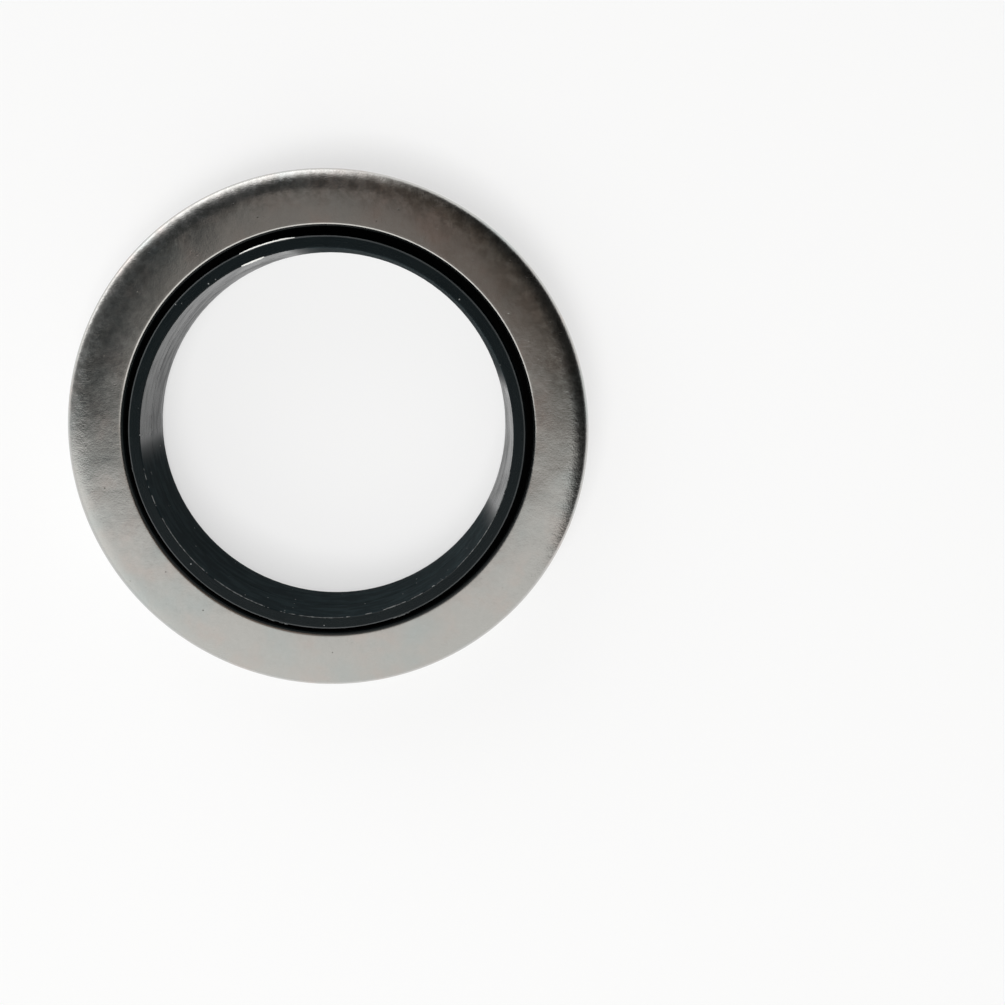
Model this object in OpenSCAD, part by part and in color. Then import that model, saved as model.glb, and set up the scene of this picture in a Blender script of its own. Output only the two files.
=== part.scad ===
// Rotary shaft seal: two polymer lips and a rubber gasket, clamped back to back in a drawn steel case.
// It lies on its rolled rear edge at z = 0, with its axis along +Z and its front flange facing up.

/* [Shaft and housing] */
// Diameter of the shaft that the seal runs on
shaft_d = 50; // [42:0.5:53]
// Diameter of the housing bore that the case is pressed into
housing_d = 72; // [69:0.5:84]

/* [Outer case] */
// Width of the case, from its rolled rear face to its front flange
case_w = 12; // [11:0.5:18]
// Thickness of the steel sheet that the case is drawn from
case_t = 1.2; // [0.8:0.1:1.4]
// Outside radius of the drawn front corner
front_corner_r = 2.2; // [1.8:0.1:2.6]
// Outside radius of the bend at the rolled rear edge
rear_bend_r = 1.7; // [1.6:0.1:2.2]
// How far the rolled edge reaches in past the rim that it holds
roll_reach = 1; // [0.5:0.1:2]
// Radial gap between the front lip and the hole in the front flange
hole_gap = 1.1; // [0.9:0.1:2]
// Rounding on the front edge of that hole
hole_edge_r = 0.6; // [0.3:0.1:0.7]

/* [Lips] */
// Wall of both lips
lip_t = 1.6; // [1:0.1:2]
// Thickness of the clamped flange of each lip
lip_flange_t = 1.5; // [1:0.1:2]
// Radius at the root of each lip, between its wall and its flange
lip_root_r = 0.8; // [0.4:0.1:1.2]
// How far the mouth of the front lip clears the shaft, on the diameter
front_clearance = 0.9; // [0.4:0.1:1.5]
// How far the front lip stands out past the front flange
front_proud = 2.2; // [1:0.1:3]
// How much smaller than the shaft the relaxed rear lip is, on the diameter
rear_squeeze = 0.7; // [0.4:0.1:1.2]
// Length of the straight land at the tip of the rear lip
land_l = 2; // [1.5:0.1:3.5]
// Height of the rear lip's tip above the rear face
rear_tip_z = 1.5; // [0.4:0.1:2]
// Width of the broken edges at the tips of both lips
edge_break = 0.15; // [0.1:0.05:0.3]
// Width of the broken edges where the two lips meet in the bore
seam_break = 0.05; // [0.03:0.01:0.1]

/* [Gasket] */
// Thickness of the gasket
gasket_t = 1; // [0.5:0.1:1.5]
// Radial width of the gasket, in from the wall of the case
gasket_w = 3.2; // [2:0.1:3.6]

/* [Inner case] */
// Thickness of the steel sheet of the inner case
inner_t = 1.2; // [0.8:0.1:1.4]
// Outside radius of the bend between its rim and its flange
inner_bend_r = 1.8; // [1.6:0.1:2.4]
// Radial gap between the root of the rear lip and the hole of the inner case
inner_hole_gap = 2.5; // [1.5:0.1:2.8]

/* [Clearances] */
// Radial play of the clamped pieces inside the outer case
play = 0.1; // [0.05:0.05:0.2]

/* [Hidden] */
$fn = 144;
overlap = 1;

// Radii of the case and of its inside
case_r = housing_d / 2;
case_in_r = case_r - case_t;
corner_in_r = front_corner_r - case_t;
roll_in_r = rear_bend_r - case_t;

// Radii of the lips and of the holes around them
bore_r = (shaft_d + front_clearance) / 2;
land_r = (shaft_d - rear_squeeze) / 2;
lip_out_r = bore_r + lip_t;
hole_r = lip_out_r + hole_gap;
inner_hole_r = lip_out_r + inner_hole_gap;

// Heights of the clamped stack, from the front flange down
flange_z = case_w - case_t;
gasket_z = flange_z - gasket_t;
seam_z = gasket_z - lip_flange_t;
stack_z = seam_z - lip_flange_t;
front_tip_z = case_w + front_proud;
land_top_z = rear_tip_z + land_l;

// Radius of the bore at the seam, as it narrows evenly from the mouth of the front lip to the land
seam_r = land_r + (bore_r - land_r) * (seam_z - land_top_z) / (front_tip_z - land_top_z);

// Outside radii of the clamped pieces, clear of the corner inside the case
front_flange_r = inside_r(gasket_t) - play;
clamp_r = case_in_r - play;
rim_in_r = clamp_r - inner_t;
roll_edge_r = rim_in_r - roll_reach;

// Radius of the inside of the case at a depth below the front flange
function inside_r(depth) =
    let (rise = max(corner_in_r - depth, 0))
    case_in_r - corner_in_r + sqrt(corner_in_r * corner_in_r - rise * rise);

// Turns the section that its children draw about the axis
module turned() {
    rotate_extrude() children();
}

// Section of a disc of the given radius between two heights
module disc_section(radius, bottom, top) {
    translate([0, bottom]) square([radius, top - bottom]);
}

// Section of a ring between two radii and two heights
module ring_section(inner, outer, bottom, top) {
    translate([inner, bottom]) square([outer - inner, top - bottom]);
}

// What a rounded corner takes away, outwards and upwards of the centre of its round
module corner_cut(radius) {
    difference() {
        square(radius + overlap);
        circle(radius);
    }
}

// Disc section with its upper outer corner rounded
module round_top_section(radius, bottom, top, round_r) {
    difference() {
        disc_section(radius, bottom, top);
        translate([radius - round_r, top - round_r]) corner_cut(round_r);
    }
}

// Disc section with both of its outer corners rounded, as a drawn and rolled shell has them
module shell_section(radius, bottom, top, low_r, high_r) {
    difference() {
        round_top_section(radius, bottom, top, high_r);
        translate([radius - low_r, bottom + low_r]) mirror([0, 1]) corner_cut(low_r);
    }
}

// Fillet that fills the corner between a lip's wall and the face of its flange above it
module root_fillet(face_z) {
    difference() {
        ring_section(
            lip_out_r - lip_t / 2,
            lip_out_r + lip_root_r,
            face_z - lip_flange_t / 2,
            face_z + lip_root_r
        );
        translate([lip_out_r + lip_root_r, face_z + lip_root_r]) circle(lip_root_r);
    }
}

// What a broken edge of the given width takes away at a corner of a lip
module edge_cut(radius, height, width) {
    translate([radius, height]) circle(width, $fn = 4);
}

// Steel cup with a hole in its front flange, its rear edge rolled in over the inner case
module outer_case() {
    color("silver") turned() difference() {
        shell_section(case_r, 0, case_w, rear_bend_r, front_corner_r);
        shell_section(case_in_r, case_t, flange_z, roll_in_r, corner_in_r);
        disc_section(hole_r, flange_z - overlap, case_w + overlap);
        disc_section(roll_edge_r, -overlap, case_t + overlap);
        translate([hole_r + hole_edge_r, case_w - hole_edge_r]) mirror([1, 0]) corner_cut(hole_edge_r);
    }
}

// Flat rubber ring under the front flange, rounded where it lies in the corner of the case
module gasket() {
    color("dimgray") turned() intersection() {
        ring_section(clamp_r - gasket_w, clamp_r, gasket_z, flange_z);
        round_top_section(clamp_r, 0, flange_z, corner_in_r);
    }
}

// L-section ring whose wall reaches out through the flange hole
module front_lip() {
    color("darkslategray") turned() difference() {
        union() {
            ring_section(lip_out_r - lip_t / 2, front_flange_r, seam_z, gasket_z);
            polygon([
                [seam_r, seam_z],
                [bore_r, front_tip_z],
                [lip_out_r, front_tip_z],
                [lip_out_r, seam_z]
            ]);
            root_fillet(gasket_z);
        }
        edge_cut(seam_r, seam_z, seam_break);
        edge_cut(bore_r, front_tip_z, edge_break);
        edge_cut(lip_out_r, front_tip_z, edge_break);
    }
}

// L-section ring whose wall narrows to a straight land that grips the shaft
module rear_lip() {
    color("darkslategray") turned() difference() {
        union() {
            ring_section(lip_out_r - lip_t / 2, clamp_r, stack_z, seam_z);
            polygon([
                [seam_r, seam_z],
                [land_r, land_top_z],
                [land_r, rear_tip_z],
                [land_r + lip_t, rear_tip_z],
                [land_r + lip_t, land_top_z],
                [lip_out_r, stack_z - lip_root_r],
                [lip_out_r, seam_z]
            ]);
            mirror([0, 1]) root_fillet(-stack_z);
        }
        edge_cut(seam_r, seam_z, seam_break);
        edge_cut(land_r, rear_tip_z, edge_break);
        edge_cut(land_r + lip_t, rear_tip_z, edge_break);
    }
}

// Flanged steel ring that clamps the lips, with a chamfered rim under the rolled edge
module inner_case() {
    color("gainsboro") turned() difference() {
        round_top_section(clamp_r, case_t, stack_z, inner_bend_r);
        round_top_section(rim_in_r, case_t - overlap, stack_z - inner_t, inner_bend_r - inner_t);
        disc_section(inner_hole_r, case_t, stack_z + overlap);
        translate([clamp_r, case_t]) circle(roll_in_r, $fn = 4);
    }
}

outer_case();
gasket();
front_lip();
rear_lip();
inner_case();
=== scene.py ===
import bpy
import math
import random
from mathutils import Matrix, Vector
from mathutils import noise as field


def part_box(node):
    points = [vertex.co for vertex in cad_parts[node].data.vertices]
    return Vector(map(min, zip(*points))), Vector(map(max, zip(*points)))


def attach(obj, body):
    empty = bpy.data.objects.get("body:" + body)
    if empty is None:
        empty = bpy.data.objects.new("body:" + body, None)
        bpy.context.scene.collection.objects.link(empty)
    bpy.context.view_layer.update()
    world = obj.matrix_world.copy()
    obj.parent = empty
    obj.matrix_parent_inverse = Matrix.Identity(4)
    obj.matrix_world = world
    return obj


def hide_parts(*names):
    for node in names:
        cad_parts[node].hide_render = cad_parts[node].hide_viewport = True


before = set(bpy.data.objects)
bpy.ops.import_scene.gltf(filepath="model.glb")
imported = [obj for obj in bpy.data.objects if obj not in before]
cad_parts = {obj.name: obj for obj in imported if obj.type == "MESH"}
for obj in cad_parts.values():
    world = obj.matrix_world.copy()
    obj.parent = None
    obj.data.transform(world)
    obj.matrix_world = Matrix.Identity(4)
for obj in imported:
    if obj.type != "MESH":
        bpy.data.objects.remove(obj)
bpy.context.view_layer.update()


# Outer case: a cup drawn from one disc of stainless sheet, with a hole pierced in its front flange.
# Its rear edge is rolled in over the inner case once the lips and the gasket are stacked inside.
# The sheet is satin and slightly wavy, with orange peel on its corner, and its corner is darker in mottled
# patches on its far half.
_, case_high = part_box("outer_case")
case_r = case_high.x
case_w = case_high.z
case_t = 0.0012
corner_r = 0.0022
corner_run = 0.0030
corner_fall = 0.0014
corner_power = 2.4
rear_bend_r = 0.0017
hole_r = 0.02815
hole_edge_r = 0.0006
roll_edge_r = 0.0325
crown_start_r = 0.0292
crown_drop = 0.00027
wave_length = 0.004
wave_height = 0.00002
case_turns = 540
sharp_turn = math.radians(40)

front_centre = (case_r - corner_run, case_w - corner_fall)
inside_centre = (case_r - corner_r, case_w - corner_r)
rear_centre = (case_r - rear_bend_r, rear_bend_r)
hole_centre = (hole_r + hole_edge_r, case_w - hole_edge_r)


def straight(start, end, steps):
    """Points of a section along a straight stretch, without its last one."""
    across, up = end[0] - start[0], end[1] - start[1]
    return [(start[0] + across * step / steps, start[1] + up * step / steps) for step in range(steps)]


def bend(centre, radius, turn_from, turn_to, steps):
    """Points of a section along a bend, between two angles in degrees, without its last one."""
    turns = [math.radians(turn_from + (turn_to - turn_from) * step / steps) for step in range(steps)]
    return [(centre[0] + radius * math.cos(turn), centre[1] + radius * math.sin(turn)) for turn in turns]


def drawn_corner(steps):
    """Points of the front corner, without its last one: it leaves the flange gently and ends upright."""
    points = []
    for step in range(steps):
        turn = math.radians(90 - 90 * step / steps)
        out = corner_run * math.cos(turn) ** (2 / corner_power)
        up = corner_fall * math.sin(turn) ** (2 / corner_power)
        points.append((front_centre[0] + out, front_centre[1] + up))
    return points


def crowned(radius, height, turn):
    """Height of a point of the front skin, with the fall and the waves of the drawn sheet."""
    fall = max(0, (radius - crown_start_r) / (case_r - crown_start_r)) ** 2
    wave = field.noise(Vector((radius * math.cos(turn), radius * math.sin(turn), 0)) / wave_length)
    fade = (height - front_centre[1]) / corner_fall
    return height + fade * (wave_height * wave - crown_drop * fall)


front_skin = (
    bend(hole_centre, hole_edge_r, 180, 90, steps=14)
    + straight((hole_centre[0], case_w), (front_centre[0], case_w), steps=18)
    + drawn_corner(steps=44)
)
other_skin = (
    straight((case_r, front_centre[1]), (case_r, rear_centre[1]), steps=8)
    + bend(rear_centre, rear_bend_r, 0, -90, steps=16)
    + straight((rear_centre[0], 0), (roll_edge_r, 0), steps=3)
    + straight((roll_edge_r, 0), (roll_edge_r, case_t), steps=2)
    + straight((roll_edge_r, case_t), (rear_centre[0], case_t), steps=2)
    + bend(rear_centre, rear_bend_r - case_t, -90, 0, steps=8)
    + straight((case_r - case_t, rear_centre[1]), (case_r - case_t, inside_centre[1]), steps=4)
    + bend(inside_centre, corner_r - case_t, 0, 90, steps=8)
    + straight((inside_centre[0], case_w - case_t), (hole_r, case_w - case_t), steps=4)
    + straight((hole_r, case_w - case_t), (hole_r, hole_centre[1]), steps=2)
)
section_points = len(front_skin) + len(other_skin)
case_vertices = []
case_faces = []
for step in range(case_turns):
    turn = math.tau * step / case_turns
    skin = [(radius, crowned(radius, height, turn)) for radius, height in front_skin] + other_skin
    for radius, height in skin:
        case_vertices.append((radius * math.cos(turn), radius * math.sin(turn), height))
    here = step * section_points
    there = (step + 1) % case_turns * section_points
    for point in range(section_points):
        after = (point + 1) % section_points
        case_faces.append((here + point, here + after, there + after, there + point))
case_mesh = bpy.data.meshes.new("drawn_case")
case_mesh.from_pydata(case_vertices, [], case_faces)
case_mesh.shade_smooth()
case_mesh.set_sharp_from_angle(angle=sharp_turn)
drawn_case = bpy.data.objects.new("drawn_case", case_mesh)
bpy.context.scene.collection.objects.link(drawn_case)

STEEL = (0.62, 0.613, 0.593, 1)
WARM_STAIN = (0.652, 0.598, 0.567, 1)
COOL_STAIN = (0.578, 0.607, 0.598, 1)
# Brighter steel for the painted highlight line on the hole's rounded edge
HIGHLIGHT_STEEL = (0.88, 0.86, 0.83, 1)
PIT = (0.23, 0.216, 0.20, 1)
FAR_CORNER_DARK = (0.30, 0.290, 0.272, 1)
METRES_PER_MM = 0.001
satin_roughness = 0.17
roughness_change = 0.06
peel_mm = 0.010
dent_mm = 0.012
mottle_mm = 0.008
grain_mm = 0.004
pit_mm = -0.012
fleck_mm = 0.007
peel_start_r = case_r - 1.2 * corner_run
peel_full_r = case_r - 0.5 * corner_run
far_dark_start_r = case_r - 1.9 * corner_run
far_dark_end_z = case_w - 0.7 * corner_fall
far_dark_full_z = case_w - 0.3 * corner_fall
far_dark_share = 0.75


def add(tree, kind, inputs, **settings):
    """Adds a node and gives each of its inputs a value or a link."""
    node = tree.nodes.new(kind)
    for name, value in settings.items():
        setattr(node, name, value)
    for key, value in inputs.items():
        if isinstance(value, bpy.types.NodeSocket):
            tree.links.new(value, node.inputs[key])
        else:
            node.inputs[key].default_value = value
    return node


def math_node(tree, operation, *values):
    """Result of one sum on the surface's own values."""
    return add(tree, "ShaderNodeMath", dict(enumerate(values)), operation=operation).outputs[0]


def both(tree, first, second):
    """Mask where two masks meet."""
    return math_node(tree, "MULTIPLY", first, second)


def soft_step(tree, value, start, end):
    """Mask that goes smoothly from 0 at start to 1 at end."""
    limits = {"Value": value, "From Min": start, "From Max": end}
    return add(tree, "ShaderNodeMapRange", limits, interpolation_type="SMOOTHSTEP").outputs[0]


def spread(tree, value, low, high):
    """A value from 0 to 1, spread between two others."""
    return add(tree, "ShaderNodeMapRange", {"Value": value, "To Min": low, "To Max": high}).outputs[0]


def mix_colours(tree, share, first, second):
    """Colour between two colours, by a mask."""
    colours = {0: share, 6: first, 7: second}
    return add(tree, "ShaderNodeMix", colours, data_type="RGBA").outputs[2]


def noise(tree, place, scale, detail):
    """Cloudy noise at a point, with so many features to the metre."""
    return add(tree, "ShaderNodeTexNoise", {"Vector": place, "Scale": scale, "Detail": detail}).outputs[0]


def spots(tree, place, scale, rarity, size):
    """Small round spots, with so many cells to the metre and most of the cells left empty."""
    cell = add(tree, "ShaderNodeTexVoronoi", {"Vector": place, "Scale": scale}).outputs
    chance = add(tree, "ShaderNodeSeparateColor", {0: cell["Color"]}).outputs[0]
    kept = soft_step(tree, chance, rarity, rarity + 0.02)
    return both(tree, kept, soft_step(tree, cell["Distance"], size, size / 3))


def round_place(tree, place):
    """Radius, angle and height of a point about the axis of the seal."""
    x, y, z = add(tree, "ShaderNodeSeparateXYZ", {0: place}).outputs
    flat = add(tree, "ShaderNodeCombineXYZ", {0: x, 1: y}).outputs[0]
    radius = add(tree, "ShaderNodeVectorMath", {0: flat}, operation="LENGTH").outputs["Value"]
    return radius, math_node(tree, "ARCTAN2", y, x), z


def new_group(name, inputs, outputs):
    """Empty node group with named sockets, the surface's coordinates, and the group's two ends."""
    group = bpy.data.node_groups.new(name, "ShaderNodeTree")
    for label, kind, value in inputs:
        group.interface.new_socket(label, in_out="INPUT", socket_type=kind).default_value = value
    for label, kind in outputs:
        group.interface.new_socket(label, in_out="OUTPUT", socket_type=kind)
    place = add(group, "ShaderNodeTexCoord", {}).outputs["Object"]
    return group, place, group.nodes.new("NodeGroupInput").outputs, group.nodes.new("NodeGroupOutput").inputs


def place_group(tree, group, inputs):
    """A group as a node of a material, with the material's own values."""
    return add(tree, "ShaderNodeGroup", inputs, node_tree=group).outputs


def new_material(name):
    """Procedural material, its tree, its shader's inputs and the surface's own coordinates."""
    material = bpy.data.materials.new(name)
    material.use_nodes = True
    tree = material.node_tree
    place = add(tree, "ShaderNodeTexCoord", {}).outputs["Object"]
    return material, tree, tree.nodes["Principled BSDF"].inputs, place


def wire_surface(tree, shader, colour, roughness, height_mm):
    """Feeds a colour, a roughness and a relief in millimetres to the shader."""
    relief = add(tree, "ShaderNodeBump", {"Height": height_mm, "Strength": 1, "Distance": METRES_PER_MM})
    tree.links.new(colour, shader["Base Color"])
    tree.links.new(roughness, shader["Roughness"])
    tree.links.new(relief.outputs[0], shader["Normal"])


def sheet_steel_group():
    """Satin sheet: stains, grain, hairlines, pits and flecks, and orange peel where it is asked for."""
    group, place, given, wanted = new_group(
        "sheet steel",
        [
            ("Steel", "NodeSocketColor", STEEL),
            ("Warm Stain", "NodeSocketColor", WARM_STAIN),
            ("Cool Stain", "NodeSocketColor", COOL_STAIN),
            ("Pit", "NodeSocketColor", PIT),
            ("Roughness", "NodeSocketFloat", satin_roughness),
            ("Peel", "NodeSocketFloat", 0),
        ],
        [("Color", "NodeSocketColor"), ("Roughness", "NodeSocketFloat"), ("Height", "NodeSocketFloat")],
    )
    warm_cloud = noise(group, place, scale=230, detail=3)
    cool_cloud = noise(group, place, scale=140, detail=3)
    mottle = noise(group, place, scale=1300, detail=3)
    grain = noise(group, place, scale=4500, detail=3)
    peel = noise(group, place, scale=4400, detail=3)
    dents = noise(group, place, scale=1000, detail=2)
    stretched = add(
        group, "ShaderNodeMapping", {"Vector": place, "Rotation": (0, 0, 0.5), "Scale": (330, 6000, 900)}
    ).outputs[0]
    hairline = soft_step(group, noise(group, stretched, scale=1, detail=1), 0.74, 0.80)
    pit = spots(group, place, scale=1000, rarity=0.93, size=0.13)
    fleck = spots(group, place, scale=1450, rarity=0.94, size=0.17)

    colour = mix_colours(group, soft_step(group, warm_cloud, 0.45, 0.75), given["Steel"], given["Warm Stain"])
    colour = mix_colours(group, soft_step(group, cool_cloud, 0.45, 0.75), colour, given["Cool Stain"])
    colour = mix_colours(group, spread(group, grain, 0.0, 0.16), colour, given["Pit"])
    colour = mix_colours(group, pit, colour, given["Pit"])
    rough = spread(group, mottle, -roughness_change, roughness_change)
    rough = math_node(group, "ADD", given["Roughness"], rough)
    rough = math_node(group, "MULTIPLY_ADD", given["Peel"], roughness_change, rough)
    rough = math_node(group, "MULTIPLY_ADD", hairline, roughness_change, rough)
    peel_height = spread(group, peel, -peel_mm, peel_mm)
    dent_height = spread(group, dents, -dent_mm, dent_mm)
    height = both(group, math_node(group, "ADD", peel_height, dent_height), given["Peel"])
    for relief, depth in [(mottle, mottle_mm), (grain, grain_mm), (pit, pit_mm), (fleck, fleck_mm)]:
        height = math_node(group, "MULTIPLY_ADD", relief, depth, height)
    group.links.new(colour, wanted["Color"])
    group.links.new(rough, wanted["Roughness"])
    group.links.new(height, wanted["Height"])
    return group


sheet_steel = sheet_steel_group()
satin_steel, tree, shader, place = new_material("satin steel")
radius, turn, height = round_place(tree, place)
on_corner = soft_step(tree, radius, peel_start_r, peel_full_r)
# The hole's rounded edge gets brighter steel all round: a painted highlight line.
on_hole_highlight = soft_step(tree, radius, hole_r + hole_edge_r, hole_r + 0.8 * hole_edge_r)
# The corner of the far half is made darker in mottled patches.
on_far_half = soft_step(tree, math_node(tree, "SINE", turn), -0.1, 0.3)
far_darkened = both(tree, on_far_half, soft_step(tree, radius, far_dark_start_r, peel_full_r))
far_darkened = both(tree, far_darkened, soft_step(tree, height, far_dark_end_z, far_dark_full_z))
far_darkened = both(tree, far_darkened, soft_step(tree, noise(tree, place, scale=800, detail=4), 0.36, 0.64))
surface = place_group(tree, sheet_steel, {"Roughness": satin_roughness, "Peel": on_corner})
colour = mix_colours(tree, both(tree, far_darkened, far_dark_share), surface["Color"], FAR_CORNER_DARK)
colour = mix_colours(tree, on_hole_highlight, colour, HIGHLIGHT_STEEL)
wire_surface(tree, shader, colour, surface["Roughness"], surface["Height"])
shader["Metallic"].default_value = 1
case_mesh.materials.append(satin_steel)
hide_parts("outer_case")
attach(drawn_case, "root")


# Gasket: a flat ring of black rubber, cut from sheet and trapped between the flange and the front lip.
# It lies deep inside the case, so only its matt black inner edge can be seen past the flange.
RUBBER_BLACK = (0.003, 0.003, 0.003, 1)
RUBBER_BLOOM = (0.008, 0.008, 0.009, 1)
bloom_mm = 0.02


def dress(node_name, material):
    """Gives a piece of the frame its finish."""
    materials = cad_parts[node_name].data.materials
    materials.clear()
    materials.append(material)


gasket_rubber, tree, shader, place = new_material("gasket rubber")
bloom = noise(tree, place, scale=1500, detail=3)
colour = mix_colours(tree, bloom, RUBBER_BLACK, RUBBER_BLOOM)
bloom_height = math_node(tree, "MULTIPLY", bloom, bloom_mm)
wire_surface(tree, shader, colour, spread(tree, bloom, 0.65, 0.95), bloom_height)
dress("gasket", gasket_rubber)


# Front lip: an L-section ring turned from a black filled polymer, its wall standing out through the flange.
# The tool leaves fine rings on it and pale specks of the filler show. The bore's glossy arcs and matt rest
# follow where light falls: painted reflection and shade.
LIP_BLACK = (0.0022, 0.0050, 0.0060, 1)
LIP_GREY = (0.0048, 0.0088, 0.0104, 1)
MATT_BLACK = (0.005, 0.013, 0.016, 1)
MATT_GREY = (0.021, 0.038, 0.043, 1)
LIP_SPECK = (0.30, 0.31, 0.31, 1)
LIP_EDGE_SHEEN = (0.075, 0.082, 0.085, 1)
PAINTED_GAP_SHADE = (0.0006, 0.0006, 0.0006, 1)
PTFE_IOR = 1.30
_, lip_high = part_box("front_lip")
tip_z = lip_high.z
lip_t = 0.0016
edge_break = 0.00015
bore_r = 0.02545
lip_out_r = bore_r + lip_t
gap_shade_fade = 0.0005
bore_fade = 0.0001
ring_mm = 0.0016
smear_mm = 0.004
matt_roughness = 1.0
# Each arc of the bore kept glossy, a painted reflection: its middle and half of its reach, in degrees
PAINTED_GLOSS_ARCS = [(141, 42), (355, 20)]
fade_turn = 9


def turned_polymer_group():
    """Turned polymer: rings of the tool's path, smeared patches, sparse pale specks, glossy arcs of painted
    reflection in a matt bore, a painted sheen on the outer edge and painted shade in the gap.
    """
    group, place, given, wanted = new_group(
        "turned polymer",
        [
            ("Dark", "NodeSocketColor", LIP_BLACK),
            ("Light", "NodeSocketColor", LIP_GREY),
            ("Speck", "NodeSocketColor", LIP_SPECK),
            ("Smooth", "NodeSocketFloat", 0.18),
            ("Smeared", "NodeSocketFloat", 0.30),
        ],
        [("Color", "NodeSocketColor"), ("Roughness", "NodeSocketFloat"), ("Height", "NodeSocketFloat")],
    )
    radius, turn, height = round_place(group, place)

    def along_path(across, along):
        """Noise drawn out along the tool's path."""
        path = add(group, "ShaderNodeCombineXYZ", {
            0: math_node(group, "MULTIPLY", radius, across),
            1: math_node(group, "MULTIPLY", height, across),
            2: math_node(group, "MULTIPLY", turn, along),
        }).outputs[0]
        return noise(group, path, scale=1, detail=2)

    rings = along_path(across=6500, along=5)
    smears = soft_step(group, along_path(across=900, along=7), 0.42, 0.66)
    speck = spots(group, place, scale=1100, rarity=0.87, size=0.14)
    # Everything outside the lip's wall, in the gap behind the flange, is painted near-black: painted shade.
    gap_shade = soft_step(group, radius, lip_out_r, lip_out_r + gap_shade_fade)
    edge_start_r = lip_out_r - 1.5 * edge_break
    # A lighter colour along the end's outer edge is a painted sheen.
    painted_edge_sheen = both(
        group,
        soft_step(group, radius, edge_start_r, edge_start_r + 0.5 * edge_break),
        soft_step(group, height, tip_z - 2 * edge_break, tip_z - edge_break),
    )
    # Off the bore and on the glossy arcs the surface keeps its gloss; the rest of the bore is matt, with its
    # own colour: painted reflection and shade.
    painted_gloss = soft_step(group, radius, bore_r, bore_r + bore_fade)
    for middle, reach in PAINTED_GLOSS_ARCS:
        nearness = math_node(group, "COSINE", math_node(group, "SUBTRACT", turn, math.radians(middle)))
        outside = math.cos(math.radians(reach + fade_turn))
        inside = math.cos(math.radians(reach - fade_turn))
        painted_gloss = math_node(group, "MAXIMUM", painted_gloss, soft_step(group, nearness, outside, inside))

    colour = mix_colours(group, rings, given["Dark"], given["Light"])
    matt = mix_colours(group, both(group, smears, rings), MATT_BLACK, MATT_GREY)
    colour = mix_colours(group, painted_gloss, matt, colour)
    colour = mix_colours(group, speck, colour, given["Speck"])
    colour = mix_colours(group, both(group, painted_edge_sheen, rings), colour, LIP_EDGE_SHEEN)
    colour = mix_colours(group, gap_shade, colour, PAINTED_GAP_SHADE)
    rough = spread(group, smears, given["Smooth"], given["Smeared"])
    rough = math_node(group, "MAXIMUM", rough, spread(group, painted_gloss, matt_roughness, 0.0))
    rough = math_node(group, "MAXIMUM", rough, gap_shade)
    relief = math_node(group, "MULTIPLY", rings, ring_mm)
    relief = math_node(group, "MULTIPLY_ADD", smears, smear_mm, relief)
    group.links.new(colour, wanted["Color"])
    group.links.new(rough, wanted["Roughness"])
    group.links.new(relief, wanted["Height"])
    return group


turned_polymer = turned_polymer_group()


def lip_material(name, smooth, smeared):
    """Finish of one lip, between its smoothest rings and its smeared ones."""
    material, tree, shader, place = new_material(name)
    surface = place_group(tree, turned_polymer, {"Smooth": smooth, "Smeared": smeared})
    wire_surface(tree, shader, surface["Color"], surface["Roughness"], surface["Height"])
    shader["IOR"].default_value = PTFE_IOR
    return material


front_polymer = lip_material("front lip polymer", smooth=0.22, smeared=0.31)
dress("front_lip", front_polymer)


# Burrs: ragged threads that the turning tool left along both edges of the front lip's end.
# They are the lip's own polymer, torn and stretched, and the two longest threads carry a painted white
# highlight.
BURR_GREY = (0.045, 0.049, 0.05, 1)
BURR_PALE = (0.15, 0.158, 0.158, 1)
BURR_GLINT = (0.88, 0.88, 0.85, 1)
glint_turn = math.radians(107)
glint_reach = math.radians(14)
ragged_mm = 0.01
burr_step = 0.00012
burr_taper = 5
burr_seed = 7
# Each long burr: where it starts and ends, in degrees, how far it reaches out in millimetres, and its edge
LONG_BURRS = [
    (98, 115, 0.14, "outer"),
    (108, 116, 0.20, "inner"),
    (207, 226, 0.03, "inner"),
    (231, 243, 0.03, "inner"),
    (256, 257.6, 0.10, "outer"),
    (260, 274, 0.04, "inner"),
    (286.5, 294.5, 0.10, "inner"),
    (290, 292.8, 0.10, "outer"),
    (296, 300.5, 0.05, "inner"),
    (303.5, 305, 0.10, "inner"),
    (313.5, 342, 0.03, "inner"),
]
# The small ones: how many, where they start and how long they are, in degrees, and their reach in millimetres
SMALL_BURRS = 64
SMALL_STARTS = (185, 350)
SMALL_LENGTHS = (0.5, 3.0)
SMALL_REACHES = (0.01, 0.06)
inner_share = 0.9


def burr_rows(turn_from, turn_to, reach_mm, edge, draws):
    """Rows of three points along one burr: on the end face, on the wall, and at its ragged rim."""
    side = -1 if edge == "inner" else 1
    edge_r = bore_r if edge == "inner" else lip_out_r
    half = 0.5 * edge_break
    steps = max(4, int(math.radians(turn_to - turn_from) * edge_r / burr_step))
    rows = []
    for step in range(1, steps):
        share = step / steps
        turn = math.radians(turn_from + (turn_to - turn_from) * share)
        swell = min(1, burr_taper * share, burr_taper * (1 - share)) * draws.uniform(0.55, 1)
        reach = METRES_PER_MM * reach_mm * swell
        profile = [
            (half, 0.1 * half),
            (0.1 * half, half),
            (-reach, 0.3 * half * draws.uniform(0.2, 1)),
        ]
        rows.append([
            Vector((
                (edge_r - side * inward) * math.cos(turn),
                (edge_r - side * inward) * math.sin(turn),
                tip_z - down,
            ))
            for inward, down in profile
        ])
    return rows


def add_burr(vertices, faces, rows):
    """Closes one burr's rows into a thin solid."""
    first = len(vertices)
    for row in rows:
        vertices.extend(row)
    last = len(vertices) - 3
    for row in range(first, last, 3):
        for side in range(3):
            after = (side + 1) % 3
            faces.append((row + side, row + after, row + 3 + after, row + 3 + side))
    faces.append((first + 2, first + 1, first))
    faces.append((last, last + 1, last + 2))


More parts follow.
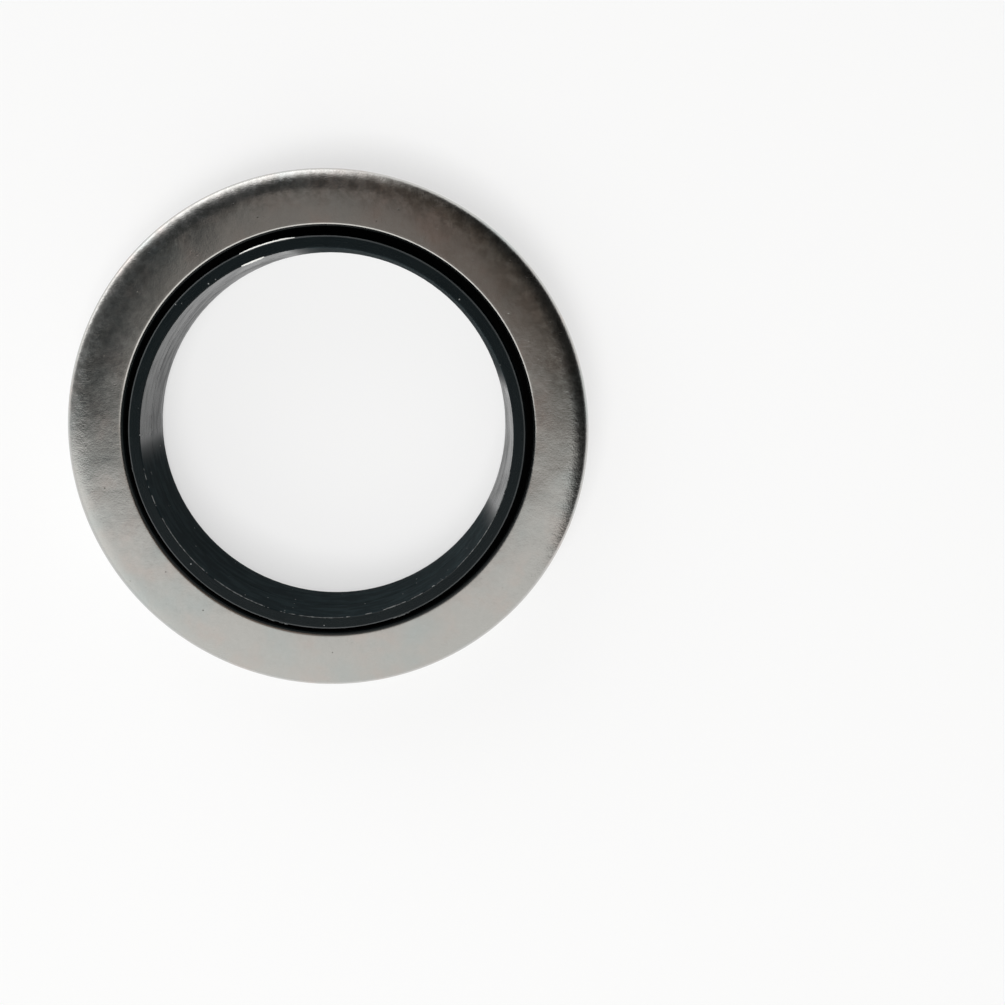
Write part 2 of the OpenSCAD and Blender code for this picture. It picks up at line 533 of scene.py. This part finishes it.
burr_draws = random.Random(burr_seed)
burr_vertices = []
burr_faces = []
burrs = list(LONG_BURRS)
for _ in range(SMALL_BURRS):
    start = burr_draws.uniform(*SMALL_STARTS)
    edge = "inner" if burr_draws.random() < inner_share else "outer"
    end = start + burr_draws.uniform(*SMALL_LENGTHS)
    burrs.append((start, end, burr_draws.uniform(*SMALL_REACHES), edge))
for turn_from, turn_to, reach_mm, edge in burrs:
    add_burr(burr_vertices, burr_faces, burr_rows(turn_from, turn_to, reach_mm, edge, burr_draws))
burr_mesh = bpy.data.meshes.new("lip_burrs")
burr_mesh.from_pydata(burr_vertices, [], burr_faces)
lip_burrs = bpy.data.objects.new("lip_burrs", burr_mesh)
bpy.context.scene.collection.objects.link(lip_burrs)
stretched_polymer, tree, shader, place = new_material("stretched polymer")
ragged = noise(tree, place, scale=2500, detail=2)
_, turn, _ = round_place(tree, place)
# Burrs near one angle are painted white: a painted highlight.
off_glint = math_node(tree, "ABSOLUTE", math_node(tree, "SUBTRACT", turn, glint_turn))
colour = mix_colours(tree, soft_step(tree, ragged, 0.35, 0.65), BURR_GREY, BURR_PALE)
colour = mix_colours(tree, soft_step(tree, off_glint, glint_reach, 0.8 * glint_reach), colour, BURR_GLINT)
ragged_height = math_node(tree, "MULTIPLY", ragged, ragged_mm)
wire_surface(tree, shader, colour, spread(tree, ragged, 0.5, 0.8), ragged_height)
burr_mesh.materials.append(stretched_polymer)
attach(lip_burrs, "root")


# Rear lip: a second turned ring of the same polymer, stacked back to back with the first.
# Its wall narrows to the land that grips the shaft, and its bore runs on from the front lip's.
rear_polymer = lip_material("rear lip polymer", smooth=0.27, smeared=0.38)
dress("rear_lip", rear_polymer)


# Inner case: a flanged ring pressed from the same sheet, which clamps the lips against the front flange.
# Only its rim and its rear face can be seen, from behind, and they keep the plain mill finish.
mill_roughness = 0.32
mill_steel, tree, shader, place = new_material("mill steel")
surface = place_group(tree, sheet_steel, {"Roughness": mill_roughness})
wire_surface(tree, shader, surface["Color"], surface["Roughness"], surface["Height"])
shader["Metallic"].default_value = 1
dress("inner_case", mill_steel)


# Floor: a plain pale table top, much wider than the seal that lies on it.
# It is matt and nearly white, and seen whiter than it is lit, so that its shadows stay pale.
TABLE_WHITE = (0.92, 0.92, 0.92, 1)
PURE_WHITE = (1, 1, 1, 1)
floor_half = 3.0
floor_drop = 0.00002
floor_whitening = 0.6
floor_mesh = bpy.data.meshes.new("floor")
corners = [(-1, -1), (1, -1), (1, 1), (-1, 1)]
floor_points = [(floor_half * x, floor_half * y, -floor_drop) for x, y in corners]
floor_mesh.from_pydata(floor_points, [], [(0, 1, 2, 3)])
floor = bpy.data.objects.new("floor", floor_mesh)
bpy.context.scene.collection.objects.link(floor)
table_top, tree, shader, place = new_material("table top")
shader["Base Color"].default_value = TABLE_WHITE
shader["Roughness"].default_value = 1
shader["Specular IOR Level"].default_value = 0
rays = add(tree, "ShaderNodeLightPath", {}).outputs
mirrored = math_node(tree, "MAXIMUM", rays["Is Glossy Ray"], rays["Is Transmission Ray"])
in_sight = math_node(tree, "MAXIMUM", rays["Is Camera Ray"], mirrored)
whitened = math_node(tree, "MULTIPLY", in_sight, floor_whitening)
white = add(tree, "ShaderNodeEmission", {"Color": PURE_WHITE, "Strength": 1}).outputs[0]
plain = tree.nodes["Principled BSDF"].outputs[0]
table = add(tree, "ShaderNodeMixShader", {0: whitened, 1: plain, 2: white}).outputs[0]
tree.links.new(table, tree.nodes["Material Output"].inputs["Surface"])
floor_mesh.materials.append(table_top)


# Light: a soft tent with a pale hem, bright in front of the seal and at its back left, and dim overhead.
# The flange shows the dim top of the tent on its far half and the bright front on its near half.
# A lamp at the front left lights the table and gives the seal its shadow.
DIM_LEFT = (0.035, 0.041, 0.043, 1)
DIM_TOP = (0.275, 0.257, 0.240, 1)
DIM_MIDDLE = (0.160, 0.126, 0.110, 1)
DIM_RIGHT = (0.096, 0.078, 0.063, 1)
DARK_RIGHT = (0.012, 0.012, 0.011, 1)
BRIGHT_FRONT = (0.755, 0.755, 0.733, 1)
PALE_HEM = (0.76, 0.76, 0.76, 1)
front_right_light = 0.09
front_left_light = 0.06
left_light = 0.2
back_glow_light = 0.17
back_low_light = 1.5
front_slant = 0.9
slant_start_x = 0.3
lamp_turn = math.radians(250)
lamp_tilt = math.radians(14)
lamp_away = 0.8
lamp_size = 0.4
lamp_power = 3.7


def brighten(tree, colour, mask, amount):
    """The tent's colour with more white light where a mask asks for it."""
    colours = {0: mask, 6: colour, 7: (amount, amount, amount, 1)}
    return add(tree, "ShaderNodeMix", colours, data_type="RGBA", blend_type="ADD").outputs[2]


world = bpy.data.worlds.new("tent")
world.use_nodes = True
bpy.context.scene.world = world
tree = world.node_tree
# A panel's edges are given along the three parts of the way that one looks, whose whole length is 1
way = add(tree, "ShaderNodeTexCoord", {}).outputs["Generated"]
way_x, way_y, way_z = add(tree, "ShaderNodeSeparateXYZ", {0: way}).outputs
rightward = math_node(tree, "MAXIMUM", math_node(tree, "SUBTRACT", way_x, slant_start_x), 0.0)
front_edge = math_node(tree, "MULTIPLY_ADD", rightward, front_slant, way_y)
front = soft_step(tree, front_edge, -0.115, -0.185)
front_right = both(tree, soft_step(tree, front_edge, -0.01, -0.12), soft_step(tree, way_x, -0.10, 0.05))
front_left = both(tree, front, soft_step(tree, way_x, 0.02, -0.18))
left = both(tree, soft_step(tree, way_x, -0.40, -0.90), soft_step(tree, way_y, 0.1, -0.1))
back = both(tree, soft_step(tree, way_y, -0.05, 0.3), soft_step(tree, way_x, 0.25, -0.20))
back_edge = math_node(tree, "SUBTRACT", way_z, way_y)
back_low = both(tree, back, soft_step(tree, back_edge, 0.30, -0.45))
back_glow = both(tree, soft_step(tree, way_x, 0.30, -0.10), soft_step(tree, way_y, -0.2, 0.1))
back_glow = both(tree, back_glow, soft_step(tree, way_z, 0.92, 0.55))
overhead = both(tree, soft_step(tree, way_x, -0.24, -0.14), soft_step(tree, way_y, 0.22, 0.10))
hem = soft_step(tree, way_z, 0.34, 0.06)
tent = mix_colours(tree, overhead, DIM_LEFT, DIM_TOP)
tent = mix_colours(tree, soft_step(tree, way_x, -0.06, -0.01), tent, DIM_MIDDLE)
tent = mix_colours(tree, soft_step(tree, way_x, 0.01, 0.08), tent, DIM_RIGHT)
tent = mix_colours(tree, soft_step(tree, way_x, 0.10, 0.46), tent, DARK_RIGHT)
tent = brighten(tree, tent, front_right, front_right_light)
tent = mix_colours(tree, front, tent, BRIGHT_FRONT)
tent = brighten(tree, tent, front_left, front_left_light)
tent = brighten(tree, tent, left, left_light)
tent = brighten(tree, tent, back_glow, back_glow_light)
tent = mix_colours(tree, hem, tent, PALE_HEM)
tent = brighten(tree, tent, back_low, back_low_light)
background = tree.nodes["Background"]
tree.links.new(tent, background.inputs["Color"])
background.inputs["Strength"].default_value = 1

lamp_data = bpy.data.lights.new("lamp", "AREA")
lamp_data.size = lamp_size
lamp_data.energy = lamp_power
lamp = bpy.data.objects.new("lamp", lamp_data)
lamp_way = Vector((
    math.sin(lamp_tilt) * math.cos(lamp_turn),
    math.sin(lamp_tilt) * math.sin(lamp_turn),
    math.cos(lamp_tilt),
))
lamp.location = lamp_away * lamp_way
lamp.rotation_euler = lamp_way.to_track_quat("Z", "Y").to_euler()
lamp.visible_glossy = False
bpy.context.scene.collection.objects.link(lamp)


# Camera: it looks down on the front flange from a little to the right of the axis and a little beyond it.
# The flange's centre and the seal's axis stand in its view where the photograph has them.
image_px = 1005
focal_px = 1600
sensor_mm = 36
nearest_seen = 0.01
flange_in_view = Vector((-0.02398, 0.00944, -0.22062))
rear_in_view = Vector((-0.0244, 0.1694, -1)).normalized()
up_in_view = -rear_in_view
across_in_view = (Vector((1, 0, 0)) - up_in_view.x * up_in_view).normalized()
beyond_in_view = up_in_view.cross(across_in_view)
camera_turn = Matrix((across_in_view, beyond_in_view, up_in_view))
flange_centre = Vector((0, 0, case_w))
camera_place = flange_centre - camera_turn @ flange_in_view
camera_data = bpy.data.cameras.new("camera")
camera_data.sensor_width = sensor_mm
camera_data.lens = focal_px / image_px * sensor_mm
camera_data.clip_start = nearest_seen
camera = bpy.data.objects.new("camera", camera_data)
camera.matrix_world = Matrix.Translation(camera_place) @ camera_turn.to_4x4()
bpy.context.scene.collection.objects.link(camera)
bpy.context.scene.camera = camera
bpy.context.scene.view_settings.view_transform = "Standard"
